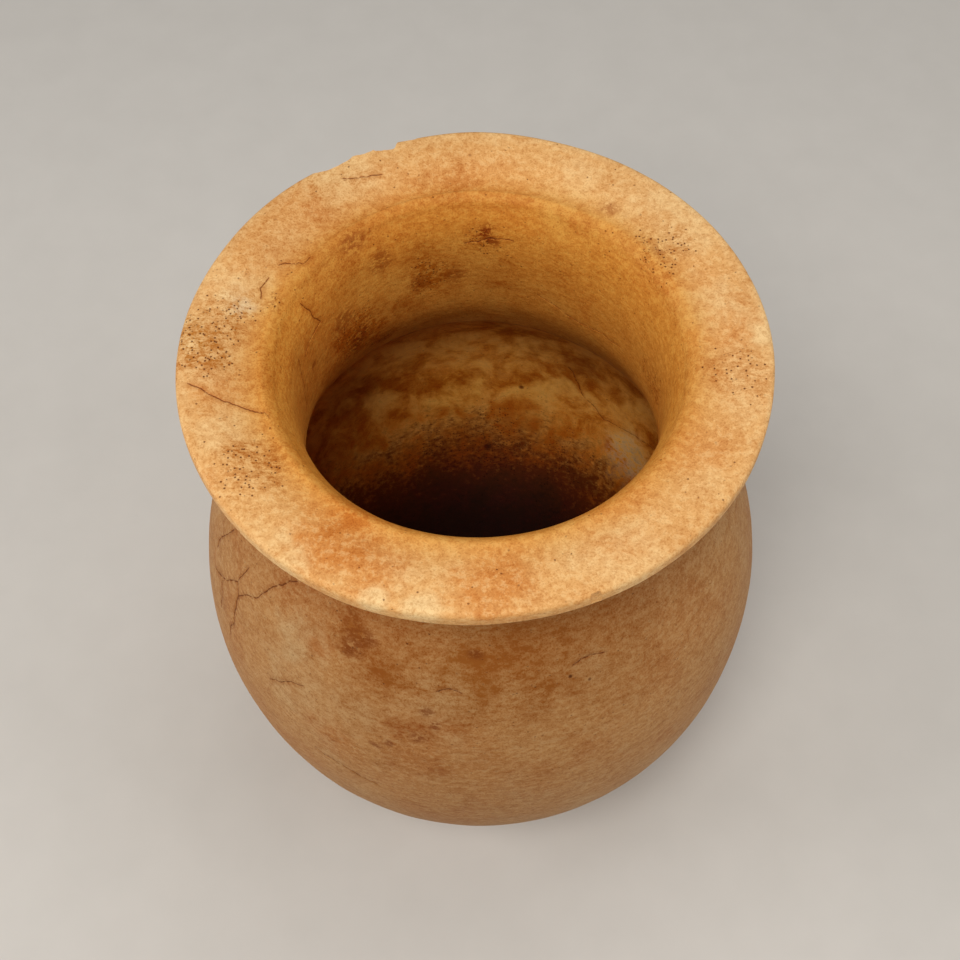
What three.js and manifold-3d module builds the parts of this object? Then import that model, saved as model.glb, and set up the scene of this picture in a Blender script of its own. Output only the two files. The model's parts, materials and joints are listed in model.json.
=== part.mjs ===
// Alabaster jar: one stone, turned and hollowed, with a broad flat rim, a short wide neck and a
// round body on a small flat foot. Units are millimetres, +Z is up. The origin is the centre of
// the foot, on the surface that the jar stands on.

import * as THREE from "three";
import { mergeVertices } from "three/addons/utils/BufferGeometryUtils.js";
import Module from "manifold-3d";

const wasm = await Module();
wasm.setup();

// The outside
const jarHeight = 178;
const rimDiameter = 150;
const lipThickness = 5.5;
const lipRound = 1.6;
const neckWall = 10;
const neckDepth = 31; // from the rim's top down to the neck's narrowest ring
const bodyDiameter = 164;
const bodyWidestHeight = 77;
const bodySquareness = 2.1; // 2 is a true ellipse, more is fuller
const shoulderDrop = 7.5; // from the narrowest ring down to where the body's curve would meet it
const shoulderSpread = 8.5; // how far out from the neck its fillet runs into the body
const footDiameter = 77;
const footRound = 1.5;

// The hollow
const throatDiameter = 94;
const throatRoundWidth = 8.5; // the rounding from the rim's flat top into the throat
const throatRoundDepth = 27;
const undercutSpread = 7; // how much the throat widens, on each side, down to the hollow
const undercutDepth = 58.5;
const bodyWall = 10.5;
const floorThickness = 13;

// The old breaks in the rim's edge: direction seen from above, length along the edge, bite inwards
// and bite down from the top
const rimChips = [
  { direction: 109, length: 10, inward: 3.2, down: 7 },
  { direction: 120, length: 19, inward: 2.4, down: 5 },
  { direction: 103, length: 7, inward: 1, down: 3 },
  { direction: 17.5, length: 7, inward: 0.7, down: 3 },
  { direction: -69.6, length: 4.5, inward: 1.1, down: 6 },
];

// How finely the round forms are cut
const turnSteps = 72;
const longCurveSteps = 8;
const shortCurveSteps = 5;
const edgeSteps = 2;
const chipSteps = 14;

const rimRadius = rimDiameter / 2;
const throatRadius = throatDiameter / 2;
const bodyRadius = bodyDiameter / 2;
const footRadius = footDiameter / 2;
const undercutRadius = throatRadius + undercutSpread;
const hollowRadius = bodyRadius - bodyWall;
const neckRadius = throatRadius + neckWall;
const neckHeight = jarHeight - neckDepth;
const undercutHeight = jarHeight - undercutDepth;

// Radius, as a share of the widest, at a height given as a share of the half height
function ovalShare(share) {
  return (1 - Math.abs(share) ** bodySquareness) ** (1 / bodySquareness);
}

// The half height of an oval of this radius that reaches a narrower radius at this distance
function ovalHalfHeight(radius, narrowRadius, distance) {
  return distance / ovalShare(narrowRadius / radius);
}

// Points of an oval from one height to another, both counted from its widest ring
function ovalPoints(radius, halfHeight, fromHeight, toHeight, steps) {
  const fromAngle = Math.asin(fromHeight / halfHeight);
  const toAngle = Math.asin(toHeight / halfHeight);
  return Array.from({ length: steps + 1 }, (_, i) => {
    const share = Math.sin(fromAngle + ((toAngle - fromAngle) * i) / steps);
    return new THREE.Vector2(
      radius * ovalShare(share),
      bodyWidestHeight + halfHeight * share,
    );
  });
}

// A quarter ellipse that starts along one axis and ends along the other
function quarterPoints(start, corner, end, steps) {
  return Array.from({ length: steps + 1 }, (_, i) => {
    const angle = (Math.PI / 2) * (i / steps);
    return new THREE.Vector2()
      .addScaledVector(start, 1 - Math.sin(angle))
      .addScaledVector(end, 1 - Math.cos(angle))
      .addScaledVector(corner, Math.sin(angle) + Math.cos(angle) - 1);
  });
}

// The foot's rounded edge and the body up to its widest ring
function lowerProfile() {
  const halfHeight = ovalHalfHeight(bodyRadius, footRadius, bodyWidestHeight);
  const body = ovalPoints(
    bodyRadius,
    halfHeight,
    footRound - bodyWidestHeight,
    0,
    longCurveSteps,
  );
  const foot = quarterPoints(
    new THREE.Vector2(footRadius - footRound, 0),
    new THREE.Vector2(footRadius, 0),
    body[0],
    edgeSteps,
  );
  return [...foot, ...body];
}

// The body from its widest ring up to where the neck's fillet starts
function shoulderProfile() {
  const rise = neckHeight - shoulderDrop - bodyWidestHeight;
  const halfHeight = ovalHalfHeight(bodyRadius, neckRadius, rise);
  const filletShare = (neckRadius + shoulderSpread) / bodyRadius;
  return ovalPoints(
    bodyRadius,
    halfHeight,
    0,
    halfHeight * ovalShare(filletShare),
    shortCurveSteps,
  );
}

// A smooth curve that leaves the shoulder along its slope and turns upright at the neck
function neckFillet(shoulder) {
  const fullness = 0.45; // how far each end's direction is kept, as a share of the span
  const start = shoulder.at(-1);
  const end = new THREE.Vector2(neckRadius, neckHeight);
  const pull = fullness * start.distanceTo(end);
  const slope = new THREE.Vector2().subVectors(start, shoulder.at(-2));
  return new THREE.CubicBezierCurve(
    start,
    start.clone().addScaledVector(slope.normalize(), pull),
    new THREE.Vector2(neckRadius, neckHeight - pull),
    end,
  ).getPoints(shortCurveSteps);
}

// From the middle of the foot, up the body and the neck, to the lower edge of the lip
function outerProfile() {
  const shoulder = shoulderProfile();
  const underside = quarterPoints(
    new THREE.Vector2(neckRadius, neckHeight),
    new THREE.Vector2(neckRadius, jarHeight - lipThickness),
    new THREE.Vector2(rimRadius - lipRound, jarHeight - lipThickness),
    shortCurveSteps,
  );
  return [
    new THREE.Vector2(0, 0),
    ...lowerProfile(),
    ...shoulder,
    ...neckFillet(shoulder),
    ...underside,
  ];
}

// Round the lip, in over the rim's flat top, down the throat and the hollow to the floor's middle
function innerProfile() {
  const lipTop = jarHeight - lipRound;
  const lipBottom = jarHeight - lipThickness + lipRound;
  const lipUnder = quarterPoints(
    new THREE.Vector2(rimRadius - lipRound, jarHeight - lipThickness),
    new THREE.Vector2(rimRadius, jarHeight - lipThickness),
    new THREE.Vector2(rimRadius, lipBottom),
    edgeSteps,
  );
  const lipOver = quarterPoints(
    new THREE.Vector2(rimRadius, lipTop),
    new THREE.Vector2(rimRadius, jarHeight),
    new THREE.Vector2(rimRadius - lipRound, jarHeight),
    edgeSteps,
  );
  const waist = new THREE.Vector2(throatRadius, jarHeight - throatRoundDepth);
  const throatTop = quarterPoints(
    new THREE.Vector2(throatRadius + throatRoundWidth, jarHeight),
    new THREE.Vector2(throatRadius, jarHeight),
    waist,
    shortCurveSteps,
  );
  const throatFlare = new THREE.QuadraticBezierCurve(
    waist,
    new THREE.Vector2(throatRadius, (waist.y + undercutHeight) / 2),
    new THREE.Vector2(undercutRadius, undercutHeight),
  ).getPoints(shortCurveSteps);
  const undercutRise = undercutHeight - bodyWidestHeight;
  const ceiling = ovalPoints(
    hollowRadius,
    ovalHalfHeight(hollowRadius, undercutRadius, undercutRise),
    undercutRise,
    0,
    shortCurveSteps,
  );
  const hollowDepth = bodyWidestHeight - floorThickness;
  const bowl = ovalPoints(
    hollowRadius,
    hollowDepth,
    0,
    -hollowDepth,
    longCurveSteps,
  );
  bowl.at(-1).x = 0;
  return [
    ...lipUnder,
    ...lipOver,
    ...throatTop,
    ...throatFlare,
    ...ceiling,
    ...bowl,
  ];
}

// Drops points that repeat the one before them
function withoutRepeats(points) {
  const nearest = 0.01;
  return points.filter(
    (point, i) => i === 0 || point.distanceTo(points[i - 1]) > nearest,
  );
}

// A closed geometry as a solid that can be joined and cut
function solidOf(geometry) {
  const bare = geometry.clone();
  bare.deleteAttribute("normal");
  bare.deleteAttribute("uv");
  const merged = mergeVertices(bare, 1e-3);
  return new wasm.Manifold(
    new wasm.Mesh({
      numProp: 3,
      vertProperties: merged.attributes.position.array,
      triVerts: new Uint32Array(merged.index.array),
    }),
  );
}

// A solid as a geometry that three.js can draw
function geometryOf(solid) {
  const mesh = solid.getMesh();
  const geometry = new THREE.BufferGeometry();
  geometry.setAttribute(
    "position",
    new THREE.Float32BufferAttribute(mesh.vertProperties, 3),
  );
  geometry.setIndex(new THREE.Uint32BufferAttribute(mesh.triVerts, 1));
  geometry.computeVertexNormals();
  return geometry;
}

// The stone before its breaks, turned about the upright axis
function turnedJar() {
  const profile = withoutRepeats([...outerProfile(), ...innerProfile()]);
  return solidOf(
    new THREE.LatheGeometry(profile, turnSteps).rotateX(Math.PI / 2),
  );
}

// The lump of stone that a chip took out of the lip: a flattened ball centred outside the edge
function chipLump({ direction, length, inward, down }) {
  const reach = 2 * inward; // half of the ball bites, half stays outside
  const angle = THREE.MathUtils.degToRad(direction);
  const lump = new THREE.SphereGeometry(1, chipSteps, chipSteps / 2);
  lump.scale(reach, length / Math.sqrt(3), down);
  lump.rotateZ(angle);
  const out = rimRadius + reach - inward;
  lump.translate(
    out * Math.cos(angle),
    out * Math.sin(angle),
    jarHeight,
  );
  return solidOf(lump);
}

function jarGeometry() {
  const chipped = rimChips.reduce(
    (stone, chip) => stone.subtract(chipLump(chip)),
    turnedJar(),
  );
  return geometryOf(chipped);
}

const alabaster = new THREE.MeshStandardMaterial({
  color: 0xc58f57,
  roughness: 0.5,
  metalness: 0,
});

const jar = new THREE.Mesh(jarGeometry(), alabaster);
jar.name = "jar";

const part = new THREE.Group();
part.add(jar);

export default part;
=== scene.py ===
import json
import math

import bpy
import numpy as np
from mathutils import Matrix, Vector, noise
from mathutils.kdtree import KDTree

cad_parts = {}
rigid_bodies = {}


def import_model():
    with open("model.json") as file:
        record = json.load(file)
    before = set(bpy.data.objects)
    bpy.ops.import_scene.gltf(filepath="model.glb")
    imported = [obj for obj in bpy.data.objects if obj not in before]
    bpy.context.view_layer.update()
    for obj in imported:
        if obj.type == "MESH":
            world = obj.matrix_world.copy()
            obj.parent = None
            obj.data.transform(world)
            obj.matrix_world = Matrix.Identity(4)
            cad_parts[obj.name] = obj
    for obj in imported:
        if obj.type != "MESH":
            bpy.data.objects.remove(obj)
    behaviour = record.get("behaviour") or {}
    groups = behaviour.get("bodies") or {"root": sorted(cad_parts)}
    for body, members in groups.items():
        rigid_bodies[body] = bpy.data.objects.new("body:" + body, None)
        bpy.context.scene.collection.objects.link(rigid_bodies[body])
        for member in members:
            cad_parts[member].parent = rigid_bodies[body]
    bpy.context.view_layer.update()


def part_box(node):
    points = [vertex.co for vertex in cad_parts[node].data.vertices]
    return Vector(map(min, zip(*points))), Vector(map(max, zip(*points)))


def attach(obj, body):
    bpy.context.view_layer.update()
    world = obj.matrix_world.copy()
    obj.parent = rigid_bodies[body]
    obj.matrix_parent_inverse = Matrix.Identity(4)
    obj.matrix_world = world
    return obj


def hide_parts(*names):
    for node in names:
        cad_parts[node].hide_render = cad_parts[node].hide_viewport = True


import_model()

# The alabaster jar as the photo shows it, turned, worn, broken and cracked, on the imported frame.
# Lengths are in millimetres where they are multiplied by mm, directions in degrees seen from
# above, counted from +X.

mm = 0.001

cadLow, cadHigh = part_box("jar")

stone = {
    "height": (cadHigh.z - cadLow.z) / mm,
    "bodyRadius": (cadHigh.x - cadLow.x) / 2 / mm,
    "bodyWidestHeight": 77,
    "squareness": 2.1,
    "footRadius": 38.5,
    "footRound": 1.5,
    "neckRadius": 57,
    "neckDepth": 31,
    "shoulderDrop": 7.5,
    "shoulderSpread": 8.5,
    "rimRadius": 75,
    "lipThickness": 5.5,
    "lipRound": 1.6,
    "throatRadius": 47,
    "throatRoundWidth": 8.5,
    "throatRoundDepth": 27,
    "undercutRadius": 54,
    "undercutDepth": 58.5,
    "bodyWall": 10.5,
    "floorThickness": 13,
    "filletPull": 0.45,           # how far the neck's fillet keeps the direction of its ends
    "turns": 320,                 # faces round the jar
    "coarse": 3.4,                # face lengths along the profile
    "medium": 1.9,
    "fine": 0.85,
    "edge": 0.6,
    "footStep": 6,
    "smoothAngle": 38,            # edges sharper than this stay sharp
}

def deselectAll():
    for each in bpy.context.scene.objects:
        each.select_set(False)
    bpy.context.view_layer.objects.active = None


def pick(piece):
    deselectAll()
    piece.select_set(True)
    bpy.context.view_layer.objects.active = piece


def applyAll(piece):
    pick(piece)
    for modifier in list(piece.modifiers):
        bpy.ops.object.modifier_apply(modifier=modifier.name)


def readPoints(piece):
    points = np.empty(len(piece.data.vertices) * 3)
    piece.data.vertices.foreach_get("co", points)
    return points.reshape(-1, 3) / mm


def writePoints(piece, points):
    piece.data.vertices.foreach_set("co", (points * mm).ravel())
    piece.data.update()


def readNormals(piece):
    normals = np.empty(len(piece.data.vertices) * 3)
    piece.data.vertex_normals.foreach_get("vector", normals)
    return normals.reshape(-1, 3)


def smoothStep(low, high, value):
    share = np.clip((value - low) / (high - low), 0, 1)
    return share * share * (3 - 2 * share)


# the profile, as radius and height pairs

def ovalShare(share):
    power = stone["squareness"]
    return (1 - np.abs(share) ** power) ** (1 / power)


def ovalCurve(radius, halfHeight, low, high):
    angles = np.linspace(math.asin(low / halfHeight), math.asin(high / halfHeight), 200)
    shares = np.sin(angles)
    return np.c_[radius * ovalShare(shares), stone["bodyWidestHeight"] + halfHeight * shares]


def quarterCurve(start, corner, end):
    start, corner, end = (np.array(point, float) for point in (start, corner, end))
    angles = np.linspace(0, math.pi / 2, 100)[:, None]
    fromStart, fromEnd = 1 - np.sin(angles), 1 - np.cos(angles)
    return start * fromStart + end * fromEnd + corner * (1 - fromStart - fromEnd)


def pulledCurve(start, pullStart, pullEnd, end):
    shares = np.linspace(0, 1, 100)[:, None]
    rest = 1 - shares
    return (np.array(start) * rest ** 3 + 3 * np.array(pullStart) * rest ** 2 * shares
            + 3 * np.array(pullEnd) * rest * shares ** 2 + np.array(end) * shares ** 3)


def spaced(curve, spacing):
    lengths = np.r_[0, np.cumsum(np.hypot(*np.diff(curve, axis=0).T))]
    steps = max(2, round(lengths[-1] / spacing))
    at = np.linspace(0, lengths[-1], steps + 1)
    return np.c_[np.interp(at, lengths, curve[:, 0]), np.interp(at, lengths, curve[:, 1])]


def outsideCurves():
    s = stone
    top, widest = s["height"], s["bodyWidestHeight"]
    neckHeight = top - s["neckDepth"]
    lipUnder = top - s["lipThickness"]
    lowerHalf = widest / ovalShare(s["footRadius"] / s["bodyRadius"])
    lower = ovalCurve(s["bodyRadius"], lowerHalf, s["footRound"] - widest, 0)
    upperHalf = (neckHeight - s["shoulderDrop"] - widest) / ovalShare(s["neckRadius"] / s["bodyRadius"])
    filletShare = (s["neckRadius"] + s["shoulderSpread"]) / s["bodyRadius"]
    shoulder = ovalCurve(s["bodyRadius"], upperHalf, 0, upperHalf * ovalShare(filletShare))
    start, end = shoulder[-1], np.array([s["neckRadius"], neckHeight])
    slope = (shoulder[-1] - shoulder[-2]) / np.hypot(*(shoulder[-1] - shoulder[-2]))
    pull = s["filletPull"] * np.hypot(*(end - start))
    fillet = pulledCurve(start, start + slope * pull, end - (0, pull), end)
    edge = s["rimRadius"] - s["lipRound"]
    lipEdge = (s["rimRadius"], lipUnder + s["lipRound"])
    footEdge = s["footRadius"] - s["footRound"]
    return [
        (np.array([[0, 0], [footEdge, 0]], float), s["footStep"]),
        (quarterCurve((footEdge, 0), (s["footRadius"], 0), lower[0]), s["edge"]),
        (lower, s["medium"]),
        (shoulder, s["medium"]),
        (fillet, s["medium"]),
        (quarterCurve(end, (s["neckRadius"], lipUnder), (edge, lipUnder)), s["medium"]),
        (quarterCurve((edge, lipUnder), (s["rimRadius"], lipUnder), lipEdge), s["edge"]),
    ]


def insideCurves():
    s = stone
    top, widest = s["height"], s["bodyWidestHeight"]
    edge = s["rimRadius"] - s["lipRound"]
    lipUnder = top - s["lipThickness"] + s["lipRound"]
    throatEdge = s["throatRadius"] + s["throatRoundWidth"]
    waist = (s["throatRadius"], top - s["throatRoundDepth"])
    undercut = (s["undercutRadius"], top - s["undercutDepth"])
    middle = (s["throatRadius"], (waist[1] + undercut[1]) / 2)
    hollowRadius = s["bodyRadius"] - s["bodyWall"]
    rise = undercut[1] - widest
    ceilingHalf = rise / ovalShare(s["undercutRadius"] / hollowRadius)
    hollowDepth = widest - s["floorThickness"]
    bowl = ovalCurve(hollowRadius, hollowDepth, -hollowDepth, 0)[::-1]
    bowl[-1] = (0, s["floorThickness"])
    return [
        (np.array([[s["rimRadius"], lipUnder], [s["rimRadius"], top - s["lipRound"]]]), s["edge"]),
        (quarterCurve((s["rimRadius"], top - s["lipRound"]), (s["rimRadius"], top), (edge, top)), s["edge"]),
        (np.array([[edge, top], [throatEdge, top]], float), s["fine"]),
        (quarterCurve((throatEdge, top), (s["throatRadius"], top), waist), s["fine"]),
        (pulledCurve(waist, middle, middle, undercut), s["fine"] * 1.4),
        (ovalCurve(hollowRadius, ceilingHalf, 0, rise)[::-1], s["medium"] * 1.3),
        (bowl, s["coarse"]),
    ]


def profilePoints():
    points = [np.zeros(2)]
    for curve, spacing in outsideCurves() + insideCurves():
        points.extend(spaced(curve, spacing)[1:])
    return np.array(points)


def turnStone():
    deselectAll()
    profile = profilePoints()
    bpy.ops.mesh.primitive_plane_add(size=mm)
    piece = bpy.context.object
    piece.name = "jar_stone"
    bpy.ops.object.mode_set(mode="EDIT")
    bpy.ops.mesh.select_all(action="SELECT")
    bpy.ops.mesh.merge(type="CENTER")               # one point left, at the foot's centre
    for step in np.diff(profile, axis=0) * mm:
        bpy.ops.mesh.extrude_vertices_move(TRANSFORM_OT_translate={"value": (step[0], 0, step[1])})
    bpy.ops.mesh.select_all(action="SELECT")
    bpy.ops.mesh.spin(steps=stone["turns"], angle=2 * math.pi, center=(0, 0, 0), axis=(0, 0, 1))
    bpy.ops.mesh.select_all(action="SELECT")
    bpy.ops.mesh.remove_doubles(threshold=0.02 * mm)
    bpy.ops.mesh.normals_make_consistent(inside=False)
    bpy.ops.object.mode_set(mode="OBJECT")
    print("stone turned:", len(profile), "rings,", len(piece.data.polygons), "faces")
    return piece


def around(outline, angles):
    # a value given at some directions, rounded off and read all the way round
    directions, values = np.array(outline, float).T
    order = np.argsort(directions)
    ring = np.arange(-180, 180, 1.0)
    rough = np.interp(ring, directions[order], values[order], period=360)
    window = np.hanning(23)
    wrapped = np.r_[rough[-11:], rough, rough[:11]]
    return np.interp(angles, ring, np.convolve(wrapped, window / window.sum(), "valid"), period=360)


def noiseAt(points, size, seed):
    shift = Vector((seed * 17.3, seed * 5.1, -seed * 9.7))
    return np.array([noise.noise(Vector(point) / size + shift) for point in points])


# how far the rim's edge stands out from a true circle
rimOutline = [(-145, -0.2), (-112, 0.35), (-96, 0.2), (-81, 0.0), (-50, -0.3), (-20, -0.3), (11, -0.3),
              (50, -0.2), (71, 0.0), (91, 0.9), (103, 0.4), (131, 0.3), (151, -0.3), (180, 0.0)]

# how far the throat stands out from a true circle about the jar's axis
throatOutline = [(-150, -1.0), (-90, 0.0), (-30, 1.0), (0, 1.3), (30, 0.6), (60, -0.6), (90, 0.0),
                 (150, -1.1), (180, -1.3)]

# how deep the turn from the rim's top into the throat is worn, sharpest on the right
wornTurn = [(-180, 2.6), (-90, 1.6), (-30, 1.0), (12, 0.5), (45, 1.2), (75, 2.6), (110, 3.0), (150, 2.9)]

# the unevenness left by hand work: how long its waves are, how deep, which noise
waves = [(38, 0.55, 1), (15, 0.2, 2), (6, 0.1, 3)]


def shapeByHand(piece):
    points = readPoints(piece)
    normals = readNormals(piece)
    angles = np.degrees(np.arctan2(points[:, 1], points[:, 0]))
    radii = np.hypot(points[:, 0], points[:, 1])
    heights = points[:, 2].copy()
    top = stone["height"]
    atRim = smoothStep(60, 72, radii) * smoothStep(top - 28, top - 8, heights)
    atThroat = (1 - smoothStep(54, 64, radii)) * smoothStep(top - 80, top - 56, heights)
    outward = around(rimOutline, angles) * atRim + around(throatOutline, angles) * atThroat
    grow = 1 + outward / np.maximum(radii, 1)
    points[:, :2] *= grow[:, None]
    # only inwards, so that the stone stays within its size, and never at the foot's flat
    sink = sum(depth * (0.5 - 0.5 * noiseAt(points, size, seed)) for size, depth, seed in waves)
    sink *= smoothStep(0.5, 8, heights)
    sink *= np.where((heights > top - 4) & (radii > 50), 0.6, 1)
    points -= normals * sink[:, None]
    worn = np.exp(-((radii - 57) / 6.5) ** 2) * smoothStep(top - 14, top - 5, heights)
    points -= normals * (around(wornTurn, angles) * worn)[:, None]
    writePoints(piece, points)
    print("shaped by hand")


# old breaks in the rim's edge
breaks = [
    {"direction": 108.8, "length": 9, "inward": 3.1, "down": 8},
    {"direction": 113.5, "length": 9, "inward": 1.6, "down": 7},
    {"direction": 120.5, "length": 19, "inward": 2.6, "down": 6},
    {"direction": 103.2, "length": 7, "inward": 1.2, "down": 3},
    {"direction": 17.5, "length": 7, "inward": 0.7, "down": 3},
    {"direction": -69.6, "length": 3.6, "inward": 1.2, "down": 7},
]


def breakLump(place):
    reach = 2 * place["inward"]                     # half of the lump bites, half stays outside
    angle = math.radians(place["direction"])
    away = stone["rimRadius"] + around(rimOutline, [place["direction"]])[0] + reach - place["inward"]
    bpy.ops.mesh.primitive_ico_sphere_add(subdivisions=5, radius=mm)
    lump = bpy.context.object
    points = readPoints(lump)
    bumps = 1 + 0.16 * noiseAt(points, 0.7, place["direction"]) + 0.06 * noiseAt(points, 0.25, 4)
    points *= bumps[:, None]
    points *= (reach, place["length"] / math.sqrt(3), place["down"])
    turn = np.array([[math.cos(angle), math.sin(angle)], [-math.sin(angle), math.cos(angle)]])
    points[:, :2] = points[:, :2] @ turn
    points += (away * math.cos(angle), away * math.sin(angle), stone["height"])
    writePoints(lump, points)
    return lump


def breakRim(piece):
    lumps = bpy.data.collections.new("breaks")
    bpy.context.scene.collection.children.link(lumps)
    for place in breaks:
        lump = breakLump(place)
        for holder in list(lump.users_collection):
            holder.objects.unlink(lump)
        lumps.objects.link(lump)
    cut = piece.modifiers.new("breaks", "BOOLEAN")
    cut.operation = "DIFFERENCE"
    cut.operand_type = "COLLECTION"
    cut.collection = lumps
    cut.solver = "EXACT"
    applyAll(piece)
    for lump in list(lumps.objects):
        bpy.data.objects.remove(lump)
    bpy.data.collections.remove(lumps)
    print("rim broken:", len(piece.data.polygons), "faces")


# cracks, each a line of places: on the rim's top a direction and a radius, elsewhere a direction and a height
cracks = [
    {"on": "rim", "width": 0.31,
     "line": [(-173, 71), (-171, 67.5), (-168, 63), (-165.5, 58.5), (-161.5, 54)]},
    {"on": "rim", "width": 0.26, "line": [(120, 68), (116.5, 66), (112.5, 65)]},
    {"on": "rim", "width": 0.26, "line": [(154.2, 58.9), (157, 59.5), (159.8, 58.1)]},
    {"on": "rim", "width": 0.22, "line": [(148.4, 58.4), (145.5, 56), (142.7, 54)]},
    {"on": "outside", "width": 0.31, "line": [(-165, 122.5), (-168, 113), (-167.5, 111)]},
    {"on": "outside", "width": 0.34,
     "line": [(-165, 105), (-161, 108.5), (-155, 116), (-153.5, 113.5), (-152, 103), (-153, 96)]},
    {"on": "outside", "width": 0.26, "line": [(-161, 108.5), (-159.5, 105), (-158.5, 99)]},
    {"on": "outside", "width": 0.31,
     "line": [(-153.2, 113.2), (-151, 117.5), (-148, 120.5), (-145.5, 126), (-142, 131), (-140, 133)]},
    {"on": "outside", "width": 0.24, "line": [(-155.2, 116), (-154.6, 120.5), (-154, 123)]},
    {"on": "outside", "width": 0.22, "line": [(-137.5, 101), (-133, 106), (-129.5, 109)]},
    {"on": "outside", "width": 0.27, "line": [(-125, 84), (-120.5, 83), (-116, 80.8), (-111.5, 79.3)]},
    {"on": "outside", "width": 0.22, "line": [(-99.5, 124), (-97, 124.5), (-95, 124.2)]},
    {"on": "outside", "width": 0.26, "line": [(-69.5, 127), (-66.5, 127.6), (-62, 126.6)]},
    {"on": "inside", "width": 0.26,
     "line": [(154.6, 170.3), (153.2, 166.2), (151.2, 161), (156, 161.3), (163.5, 159.6)]},
    {"on": "inside", "width": 0.31, "line": [(168.8, 162), (171, 153.3), (172, 145)]},
    {"on": "inside", "width": 0.26, "line": [(92, 162.3), (88, 162.6), (84.5, 163.7), (77, 164)]},
    {"on": "inside", "width": 0.31, "line": [(65, 80), (61, 69.5), (54, 62.5), (46, 64), (38, 66), (24, 62)]},
    {"on": "inside", "width": 0.20, "line": [(67, 145), (58, 141), (51.5, 139.7), (42, 141.5), (32, 142)]},
]


def wallRadius(curves, height):
    walls = np.vstack([curve for curve, spacing in curves])
    order = np.argsort(walls[:, 1])
    return np.interp(height, walls[order, 1], walls[order, 0])


def crackPath(crack):
    directions, runs = np.array(crack["line"], float).T
    if crack["on"] == "rim":
        radii, heights = runs, np.full(len(runs), float(stone["height"]))
    else:
        curves = outsideCurves()[1:5] if crack["on"] == "outside" else insideCurves()[3:]
        radii, heights = np.array([wallRadius(curves, run) for run in runs]), runs
    turns = np.radians(directions)
    corners = np.c_[radii * np.cos(turns), radii * np.sin(turns), heights]
    lengths = np.r_[0, np.cumsum(np.linalg.norm(np.diff(corners, axis=0), axis=1))]
    at = np.arange(0, lengths[-1], 0.2)
    path = np.c_[[np.interp(at, lengths, corners[:, i]) for i in range(3)]].T
    wander = [0.9 * noiseAt(path, 5, seed) + 0.35 * noiseAt(path, 1.6, seed) for seed in (11, 12, 13)]
    fade = np.minimum(1, 0.3 + np.minimum(at, lengths[-1] - at) / 3)
    return path + np.array(wander).T * fade[:, None]


def onSurface(piece, path):
    return np.array([piece.closest_point_on_mesh(Vector(point * mm))[1] for point in path]) / mm


def nearestOnCracks(points, paths):
    # for each point the nearest place on the cracks, by its number, and how far away it is
    tree = treeOf(paths)
    found = np.array([(index, distance) for _, index, distance in map(tree.find, points)])
    return found[:, 0].astype(int), found[:, 1]


def treeOf(paths):
    tree = KDTree(sum(len(path) for path in paths))
    index = 0
    for path in paths:
        for place in path:
            tree.insert(place, index)
            index += 1
    tree.balance()
    return tree


def selectNear(piece, paths, reach):
    centres = np.empty(len(piece.data.polygons) * 3)
    piece.data.polygons.foreach_get("center", centres)
    distances = nearestOnCracks(centres.reshape(-1, 3) / mm, paths)[1]
    pick(piece)
    bpy.ops.object.mode_set(mode="EDIT")
    bpy.ops.mesh.select_mode(type="FACE")
    bpy.ops.mesh.select_all(action="DESELECT")
    bpy.ops.object.mode_set(mode="OBJECT")
    piece.data.polygons.foreach_set("select", distances < reach)


def cutFiner(piece, paths, reach, cuts):
    selectNear(piece, paths, reach)
    bpy.ops.object.mode_set(mode="EDIT")
    bpy.ops.mesh.subdivide(number_cuts=cuts)
    bpy.ops.object.mode_set(mode="OBJECT")


def openCracks(piece):
    paths = [onSurface(piece, crackPath(crack)) for crack in cracks]
    widths = np.concatenate([np.full(len(path), crack["width"]) for path, crack in zip(paths, cracks)])
    cutFiner(piece, paths, 0.9, 2)
    cutFiner(piece, paths, 0.45, 1)
    points = readPoints(piece)
    normals = readNormals(piece)
    index, distance = nearestOnCracks(points, paths)
    every = np.vstack(paths)
    along = np.vstack([np.gradient(path, axis=0) for path in paths])
    sideways = np.cross(normals, along[index])
    sideways /= np.maximum(np.linalg.norm(sideways, axis=1), 1e-6)[:, None]
    side = np.einsum("ij,ij->i", points - every[index], sideways)
    width = widths[index]
    depth = 0.25 * np.clip(1 - distance / width, 0, 1)
    writePoints(piece, points - normals * depth[:, None])
    for name, values in (("crackSide", side / width), ("crackNear", np.clip(1 - distance / 2.0, 0, 1))):
        layer = piece.data.attributes.new(name, "FLOAT", "POINT")
        layer.data.foreach_set("value", values.astype(np.float32))
    print("cracks opened:", len(piece.data.polygons), "faces")


def finishMesh(piece):
    pick(piece)
    bpy.ops.object.shade_smooth_by_angle(angle=math.radians(38))
    triangles = sum(len(face.vertices) - 2 for face in piece.data.polygons)
    print("stone finished:", triangles, "triangles")


def colour(red, green, blue):
    # a colour as a picture shows it, from 0 to 255, made linear
    linear = []
    for part in (red / 255, green / 255, blue / 255):
        linear.append(part / 12.92 if part <= 0.04045 else ((part + 0.055) / 1.055) ** 2.4)
    return (*linear, 1)


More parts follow.
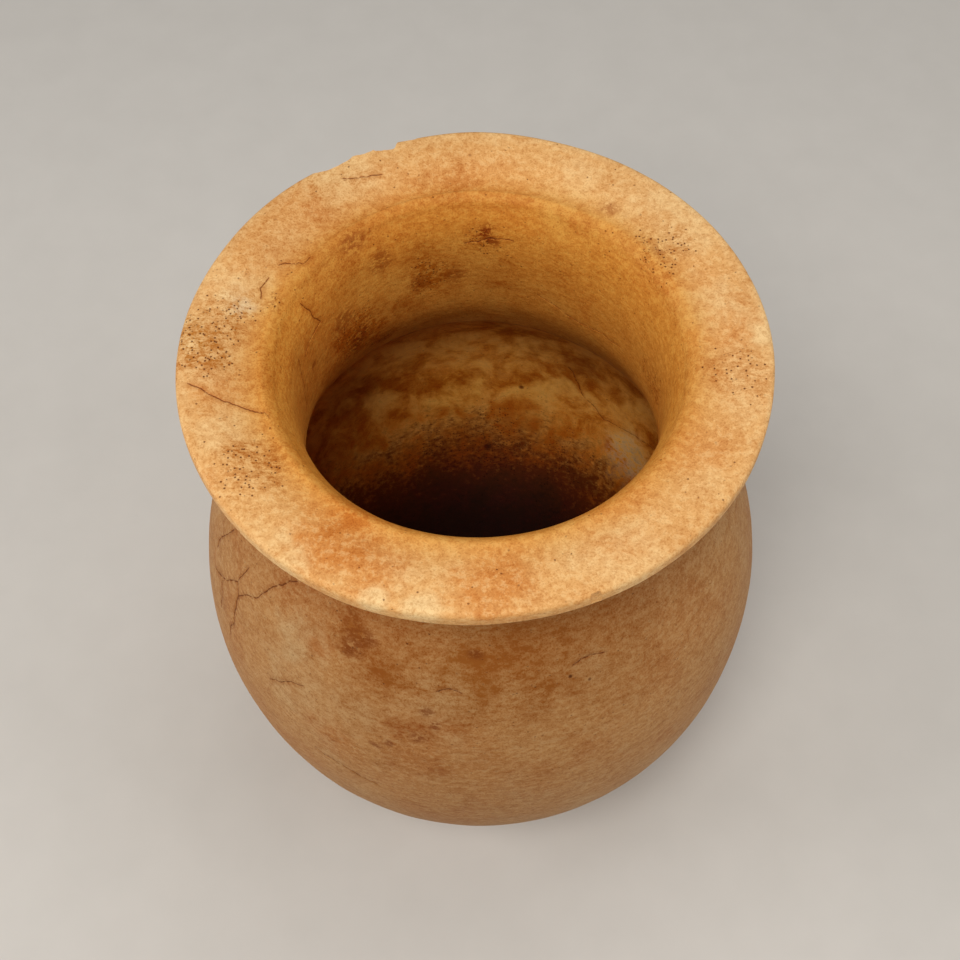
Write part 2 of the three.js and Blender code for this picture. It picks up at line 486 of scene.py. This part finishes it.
class Wire:
    # one output of a node, so that shader maths reads as plain sums
    def __init__(self, maker, socket):
        self.maker = maker
        self.socket = socket

    def __add__(self, other):
        return self.maker.sum("ADD", self, other)

    def __radd__(self, other):
        return self.maker.sum("ADD", other, self)

    def __sub__(self, other):
        return self.maker.sum("SUBTRACT", self, other)

    def __rsub__(self, other):
        return self.maker.sum("SUBTRACT", other, self)

    def __mul__(self, other):
        return self.maker.sum("MULTIPLY", self, other)

    def __rmul__(self, other):
        return self.maker.sum("MULTIPLY", other, self)

    def __truediv__(self, other):
        return self.maker.sum("DIVIDE", self, other)

    def __pow__(self, other):
        return self.maker.sum("POWER", self, other)

    def __abs__(self):
        return self.maker.sum("ABSOLUTE", self)


class Finish:
    def __init__(self, name):
        self.material = bpy.data.materials.new(name)
        self.material.use_nodes = True
        self.tree = self.material.node_tree
        self.shader = self.tree.nodes["Principled BSDF"]

    def plug(self, socket, value):
        if isinstance(value, Wire):
            self.tree.links.new(value.socket, socket)
        else:
            socket.default_value = value

    def node(self, kind, settings=None, sockets=None, output=0):
        made = self.tree.nodes.new(kind)
        for name, value in (settings or {}).items():
            setattr(made, name, value)
        for name, value in (sockets or {}).items():
            self.plug(made.inputs[name], value)
        return Wire(self, made.outputs[output])

    def sum(self, operation, *values):
        return self.node("ShaderNodeMath", {"operation": operation}, dict(enumerate(values)))

    def step(self, low, high, value, top=1):
        return self.node("ShaderNodeMapRange", {"interpolation_type": "SMOOTHSTEP"},
                         {"Value": value, "From Min": low, "From Max": high, "To Max": top})

    def most(self, *values):
        result = values[0]
        for value in values[1:]:
            result = self.sum("MAXIMUM", result, value)
        return result

    def mix(self, share, first, second, blend="MIX"):
        return self.node("ShaderNodeMix", {"data_type": "RGBA", "blend_type": blend, "clamp_factor": True},
                         {0: share, 6: first, 7: second}, 2)

    def vector(self, operation, *values, output=0):
        return self.node("ShaderNodeVectorMath", {"operation": operation}, dict(enumerate(values)), output)

    def grain(self, place, size, detail=4, roughness=0.55, warp=0):
        return self.node("ShaderNodeTexNoise", {}, {"Vector": place, "Scale": 1 / size, "Detail": detail,
                                                    "Roughness": roughness, "Distortion": warp})


def spot(direction, radius, height):
    # a place in the jar's own directions, as a point
    turn = math.radians(direction)
    return (radius * math.cos(turn), radius * math.sin(turn), height)


# patches of other colour: place, how far they reach, how strong they are
creamPatches = [
    (spot(-109, 74, 178), 5, 1.0), (spot(-100, 74, 178), 6, 1.0), (spot(-128, 73, 178), 8, 0.7),
    (spot(13, 60, 178), 10, 0.7), (spot(163, 63, 178), 12, 0.9), (spot(-133, 71, 120), 11, 0.9),
    (spot(-134, 78, 104), 9, 0.6), (spot(120, 70, 178), 16, 0.7), (spot(40, 68, 178), 18, 0.7),
    (spot(175, 73, 178), 8, 0.8), (spot(-160, 66, 178), 9, 0.6), (spot(-60, 70, 178), 14, 0.5),
    (spot(-70, 60, 178), 10, 0.4), (spot(60, 60, 170), 16, 0.5), (spot(10, 74, 178), 10, 0.7),
    (spot(43, 66, 56), 12, 1.0), (spot(95, 69, 62), 14, 0.9), (spot(75, 70, 66), 12, 0.4),
    (spot(178, 67, 178), 14, 0.5), (spot(-8, 66, 178), 16, 0.4), (spot(3, 74, 178), 10, 0.8),
    (spot(-132, 71, 123), 9, 0.7),
]
orangePatches = [
    (spot(-122, 62, 178), 15, 1.0), (spot(-112, 67, 178), 12, 0.8), (spot(-88, 66, 178), 15, 0.9),
    (spot(-60, 60, 178), 12, 0.5), (spot(6, 64, 178), 12, 0.6), (spot(-10, 66, 178), 12, 0.4),
    (spot(-30, 62, 178), 12, 0.5), (spot(-128, 69, 124), 6, 0.8), (spot(-100, 78, 106), 20, 0.6),
    (spot(-85, 80, 90), 20, 0.4), (spot(-120, 60, 172), 12, 0.6), (spot(90, 56, 176), 14, 0.4),
    (spot(-121, 81, 95), 12, 0.6),
]
stainPatches = [
    (spot(177, 66, 178), 12, 0.5), (spot(-149, 61, 178), 8, 0.3), (spot(86, 48, 165), 6, 0.4),
    (spot(107, 47, 154), 13, 0.8), (spot(80, 47, 150), 10, 0.6), (spot(128, 50, 166), 10, 0.5),
    (spot(118, 48, 140), 14, 0.7), (spot(139, 48, 140), 14, 0.7), (spot(-121, 65, 130), 8, 1.0),
    (spot(-113, 68, 128), 9, 0.7), (spot(-95, 70, 124), 14, 0.6), (spot(-75, 70, 124), 12, 0.5),
    (spot(-99, 80, 96), 8, 0.4), (spot(152, 49, 168), 4, 0.6), (spot(170, 48, 160), 5, 0.5),
    (spot(-160, 48, 155), 8, 0.5), (spot(-104, 76, 110), 8, 0.4), (spot(-109, 79, 95), 8, 0.4),
]
# painted shade in the hollow, mostly on its left side, where the light does not reach
hollowShadePatches = [
    (spot(125, 70, 78), 14, 0.4), (spot(150, 70, 60), 22, 0.7), (spot(62, 70, 84), 10, 0.4),
    (spot(165, 66, 50), 20, 0.7),
]
blots = [
    (spot(86, 48, 165.5), 3.2, 1.0), (spot(83, 48, 162.5), 2.2, 0.8), (spot(158.8, 57, 178), 3.0, 1.0),
    (spot(162.5, 53.5, 177), 2.4, 0.8), (spot(160.5, 47, 152), 2.0, 0.8), (spot(134, 48.5, 140), 5.5, 0.8),
    (spot(140, 47.5, 152), 5, 0.5), (spot(129, 51, 173), 4.5, 0.5), (spot(122, 48, 164), 5, 0.5),
    (spot(-102, 73, 117), 2.4, 0.6), (spot(-100, 75, 113), 2.4, 0.6), (spot(-103, 77, 108), 3.0, 0.6),
    (spot(-111.5, 79, 101), 2.2, 0.8), (spot(-109.5, 78.3, 103.4), 1.8, 0.6), (spot(-121, 67, 130), 7, 0.5),
    (spot(-91.5, 63, 133), 2.2, 0.6), (spot(51.8, 59.3, 178), 3.5, 0.5), (spot(33.2, 58.3, 178), 3.0, 0.6),
    (spot(110, 49, 150), 5, 0.5), (spot(96, 48, 150), 5, 0.4), (spot(-117, 65, 132), 4, 0.5),
]
# dust on the rim's top, and painted shadow on the outside just under the rim at the front
dustAndShadePatches = [
    (spot(180, 66, 178), 34, 0.1), (spot(135, 66, 178), 30, 0.25), (spot(100, 66, 178), 22, 0.12),
    (spot(-110, 72, 120), 24, 0.18), (spot(-85, 66, 126), 24, 0.3), (spot(-60, 68, 126), 24, 0.2),
]
pittedPatches = [
    (spot(177, 68, 178), 11, 1.0), (spot(168, 63, 178), 10, 1.0), (spot(-149, 62, 178), 10, 0.8),
    (spot(160, 56, 178), 5, 1.0), (spot(135, 48, 142), 11, 1.0), (spot(125, 50, 132), 8, 0.9),
    (spot(32, 58, 178), 10, 0.8), (spot(10, 48, 150), 8, 0.8), (spot(88, 48, 162), 6, 0.5),
    (spot(106, 47, 152), 9, 0.7), (spot(85, 62, 44), 16, 1.0), (spot(60, 62, 42), 14, 0.9),
    (spot(105, 62, 44), 12, 0.8), (spot(-8, 66, 178), 12, 0.5),
]
darkDots = [
    (spot(90.2, 66.3, 178), 0.9), (spot(40.2, 55.7, 178), 0.7), (spot(36.1, 59, 178), 0.9),
    (spot(29.5, 61.8, 178), 0.7), (spot(24.4, 52.8, 176.4), 0.8), (spot(12.1, 54.9, 177.7), 0.6),
    (spot(161.2, 47.1, 152.4), 1.1), (spot(77.7, 70.4, 64.7), 1.3), (spot(87, 60.7, 41.5), 1.6),
    (spot(-71, 69, 124.3), 0.8), (spot(-67, 70.7, 121.7), 0.8), (spot(-85, 70, 125), 0.9),
    (spot(130, 64, 55), 1.2), (spot(128, 68, 70), 1.0), (spot(161, 57, 178), 1.0),
]


palePatches = [
    (spot(164, 61, 178), 5, 1.0), (spot(157, 58, 178), 3, 0.6), (spot(43, 66, 56), 12, 0.8),
    (spot(163, 63, 178), 7, 0.4),
]


class Stone(Finish):
    # the alabaster, with its patches in the jar's own millimetres
    def __init__(self):
        super().__init__("alabaster")
        self.place = self.vector("MULTIPLY", self.node("ShaderNodeTexCoord", output=3), (1 / mm,) * 3)
        broad = self.node("ShaderNodeTexNoise", {}, {"Vector": self.place, "Scale": 0.13, "Detail": 3}, 1)
        shift = self.vector("SUBTRACT", broad, (0.5, 0.5, 0.5))
        self.moved = self.vector("MULTIPLY_ADD", shift, (17, 17, 17), self.place)
        self.nudged = self.vector("MULTIPLY_ADD", shift, (5, 5, 5), self.place)
        self.streaked = self.vector("MULTIPLY", self.place, (1, 1, 1.8))
        split = self.node("ShaderNodeSeparateXYZ", {}, {0: self.place}).socket.node
        self.parts = [Wire(self, out) for out in split.outputs]

    def patches(self, group):
        found = []
        for at, reach, strength in group:
            distance = self.vector("DISTANCE", self.moved if reach > 6 else self.nudged, at, output=1)
            found.append(self.step(reach * 1.1, reach * 0.35, distance, strength))
        return self.most(*found)

    def dots(self, group):
        found = []
        for at, reach in group:
            distance = self.vector("DISTANCE", self.place, at, output=1)
            found.append(self.step(reach, reach * 0.4, distance))
        return self.most(*found)

    def pits(self, spacing, size, share):
        # round pits in some of the cells of a cell pattern, in more of them where the share is higher
        cells = self.node("ShaderNodeTexVoronoi", {}, {"Vector": self.streaked, "Scale": 1 / spacing})
        chance = self.node("ShaderNodeSeparateColor", {}, {0: Wire(self, cells.socket.node.outputs["Color"])})
        return self.step(size, size * 0.45, cells) * self.step(0, 0.08, share - chance)

    def deepen(self, share, tint, over):
        return self.mix(share, tint, self.mix(1.0, tint, over, "MULTIPLY"))


def alabaster():
    f = Stone()
    across, along, height = f.parts
    radius = f.sum("SQRT", across * across + along * along)
    clouds = f.grain(f.place, 30, 3)
    mottle = f.grain(f.place, 9, 5, 0.6, 0.4)
    fleck = f.grain(f.streaked, 2.0, 4, 0.7)
    grit = f.grain(f.place, 0.5, 2, 0.6)
    weave = f.grain(f.vector("MULTIPLY", f.place, (0.5, 1.7, 1)), 1.2, 3, 0.7)
    bands = f.grain(f.vector("MULTIPLY", f.place, (0.3, 0.3, 1.6)), 3.5, 4, 0.65)

    # where on the jar: the rim's top, the hollow, the throat, the outside
    onTop = f.step(168, 175, height)
    wall = (radius / 77) ** 2 + ((height - 77) / 75) ** 2
    hollow = f.step(1.03, 0.97, wall) * f.step(123, 118, height)
    throat = f.step(57, 53, radius) * f.step(114, 119, height)
    beyondThroat = f.most(f.step(53, 57, radius), f.step(118, 112, height))
    outside = (1 - hollow) * beyondThroat * f.step(170, 160, height)

    # cream at the rim's worn edge, orange where the polish is deep
    edgeBand = f.step(70, 73, radius + (mottle - 0.5) * 10) * onTop * (0.1 + 0.9 * f.step(-60, 0, along))
    cream = f.most(edgeBand * 0.5, f.patches(creamPatches), f.step(0.52, 0.7, clouds) * 0.5)
    orange = f.most(f.patches(orangePatches), f.step(0.5, 0.36, clouds) * 0.4)
    tint = f.mix(orange * f.step(0.15, 0.7, mottle), colour(230, 176, 110), colour(216, 140, 66))
    tint = f.mix(cream * f.step(0.8, 0.3, mottle), tint, colour(242, 208, 152))
    tint = f.mix(f.step(0.52, 0.36, fleck) * 0.35, tint, colour(244, 208, 150))
    # the outside darker and a little greyer than the rim: partly the body's own tone, partly painted shade on
    # its sides, which get less of the light from above
    tint = f.deepen(outside, tint, colour(204, 198, 196))

    # brown that sits over the stone, with painted shade deeper in the throat and under the rim: it darkens
    # and deepens the colour under it
    pitted = f.patches(pittedPatches)
    stains = f.patches(stainPatches) * f.step(0.2, 0.7, mottle)
    funnel = f.step(66, 50, radius) * f.step(114, 119, height) * (1 - outside)
    tint = f.deepen(funnel * 0.8, tint, colour(230, 195, 76))
    # painted shade: the throat darker the deeper it goes, and the outside darker just under the rim, where
    # the rim shades it
    depth = throat * f.step(165, 124, height) * 0.15 + outside * f.step(118, 142, height) * 0.4
    # dust on the rim's top and painted shadow under the front of the rim
    depth = depth + f.patches(dustAndShadePatches)
    stainsAndShade = stains * 0.6 + f.step(0.42, 0.66, fleck) * 0.28 + f.step(0.45, 0.75, mottle) * 0.2 + depth
    stainsAndShade = stainsAndShade + pitted * (f.step(0.42, 0.54, fleck) * 0.2 + f.step(0.5, 0.58, weave) * 0.45)
    stainsAndShade = stainsAndShade + f.step(0.5, 0.62, grit) * 0.3
    stainsAndShade = stainsAndShade + f.step(0.42, 0.7, bands) * (throat * 0.4 + outside * 0.6) * 0.35
    # stains together with painted shade darken the colour here
    tint = f.deepen(stainsAndShade, tint, colour(196, 155, 98))
    tint = f.deepen(f.patches(blots) * f.step(0.38, 0.52, fleck) * 0.9, tint, colour(172, 112, 58))
    tint = f.deepen(hollow, tint, colour(252, 212, 112))
    tint = f.mix(hollow * f.step(0.66, 0.3, mottle) * 0.45, tint, colour(250, 202, 112))
    cloudy = hollow * f.step(0.36, 0.72, mottle + (clouds - 0.5) * 0.7)
    tint = f.deepen(cloudy * 0.75, tint, colour(180, 132, 62))
    # painted shade on the hollow's left side
    tint = f.deepen(hollow * f.patches(hollowShadePatches), tint, colour(150, 92, 26))
    # darker towards the hollow's floor: partly a sooty crust on the stone, partly painted shade deep in the
    # hollow
    sootAndShade = hollow * f.step(60, 34, height + (mottle - 0.5) * 40 + (fleck - 0.5) * 44)
    tint = f.deepen(sootAndShade, tint, colour(128, 84, 38))
    crustAndShade = hollow * f.step(46, 22, height + (mottle - 0.5) * 26 + (fleck - 0.5) * 14)
    tint = f.mix(crustAndShade * 0.9, tint, colour(20, 7, 2))
    pale = f.patches(palePatches) * f.step(0.62, 0.45, fleck)
    tint = f.mix(pale * 0.4, tint, colour(222, 202, 168))

    finePits = f.pits(0.95, 0.36, 0.06 + pitted * 0.6)
    widePits = f.pits(2.6, 0.15, 0.05 + pitted * 0.35)
    holes = f.most(finePits, widePits, f.dots(darkDots))
    tint = f.deepen(holes * 0.85, tint, colour(122, 74, 30))

    side = f.node("ShaderNodeAttribute", {"attribute_name": "crackSide"}, output=2)
    near = f.node("ShaderNodeAttribute", {"attribute_name": "crackNear"}, output=2)
    broken = f.step(0.38, 0.52, fleck) * 0.7 + 0.3
    line = f.step(0.8, 0.2, abs(side) + (grit - 0.5) * 0.9) * f.step(0.5, 0.62, near) * broken
    tint = f.deepen(f.step(0.2, 0.8, near) * broken * 0.3, tint, colour(206, 164, 110))
    tint = f.deepen(line * 0.8, tint, colour(164, 112, 70))

    f.plug(f.shader.inputs["Base Color"], tint)
    f.plug(f.shader.inputs["Roughness"], 0.45 + fleck * 0.15 + holes * 0.2 + crustAndShade * 0.2)
    relief = mottle * 0.6 + fleck * 0.4 + grit * 0.3 - finePits * 0.9 - line * 0.4
    bump = f.node("ShaderNodeBump", {}, {"Height": relief, "Strength": 0.6, "Distance": 0.5 * mm})
    f.plug(f.shader.inputs["Normal"], bump)
    f.shader.inputs["Specular IOR Level"].default_value = 0.1
    return f.material


def paleFloor():
    f = Finish("pale_floor")
    place = f.node("ShaderNodeTexCoord", output=3)
    speckle = f.grain(place, 0.02, 3)
    f.plug(f.shader.inputs["Base Color"], f.mix(speckle, colour(200, 197, 192), colour(208, 205, 200)))
    f.shader.inputs["Roughness"].default_value = 0.8
    return f.material


studio = {
    "floorSize": 6000,
    "eye": (0.4, -227.6, 477.9),
    "lookDown": 57.81,          # degrees below level
    "roll": -1.35,
    "lens": 56.42,
    "sky": 0.18,
}
lamps = [
    {"name": "key", "at": (-140, -450, 900), "size": 420, "power": 4.5, "tint": (1.0, 0.96, 0.9)},
    {"name": "top", "at": (200, 350, 1150), "size": 800, "power": 2.8, "tint": (1.0, 0.97, 0.93)},
    {"name": "left", "at": (-850, -100, 480), "size": 500, "power": 3.2, "tint": (1.0, 0.97, 0.95)},
    {"name": "right", "at": (850, -250, 500), "size": 500, "power": 2.3, "tint": (1.0, 0.97, 0.95)},
]


def setStudio():
    deselectAll()
    bpy.ops.mesh.primitive_plane_add(size=studio["floorSize"] * mm)
    floor = bpy.context.object
    floor.name = "floor"
    floor.data.materials.append(paleFloor())
    for lamp in lamps:
        at = Vector(lamp["at"]) * mm
        bpy.ops.object.light_add(type="AREA", location=at)
        light = bpy.context.object
        light.name = lamp["name"]
        light.data.shape = "DISK"
        light.data.size = lamp["size"] * mm
        light.data.energy = lamp["power"]
        light.data.color = lamp["tint"]
        aim = Vector((0, 0, stone["height"] / 2 * mm)) - at
        light.rotation_euler = aim.to_track_quat("-Z", "Y").to_euler()
    world = bpy.data.worlds.new("studio")
    world.use_nodes = True
    world.node_tree.nodes["Background"].inputs["Color"].default_value = (1, 0.98, 0.95, 1)
    world.node_tree.nodes["Background"].inputs["Strength"].default_value = studio["sky"]
    bpy.context.scene.world = world
    bpy.context.scene.view_settings.view_transform = "Standard"


def setCamera():
    pitch, roll = math.radians(studio["lookDown"]), math.radians(studio["roll"])
    ahead = Vector((0, math.cos(pitch), -math.sin(pitch)))
    right = Vector((1, 0, 0))
    up = right.cross(ahead)
    turned = up * math.cos(roll) - right * math.sin(roll)
    side = ahead.cross(turned)
    placing = Matrix((side, turned, -ahead)).transposed().to_4x4()
    placing.translation = Vector(studio["eye"]) * mm
    bpy.ops.object.camera_add()
    camera = bpy.context.object
    camera.matrix_world = placing
    camera.data.lens = studio["lens"]
    camera.data.sensor_width = 36
    camera.data.clip_start = 0.01
    bpy.context.scene.camera = camera


setCamera()
setStudio()
jarStone = turnStone()
shapeByHand(jarStone)
breakRim(jarStone)
openCracks(jarStone)
finishMesh(jarStone)
jarStone.data.materials.append(alabaster())
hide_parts("jar")
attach(jarStone, "root")
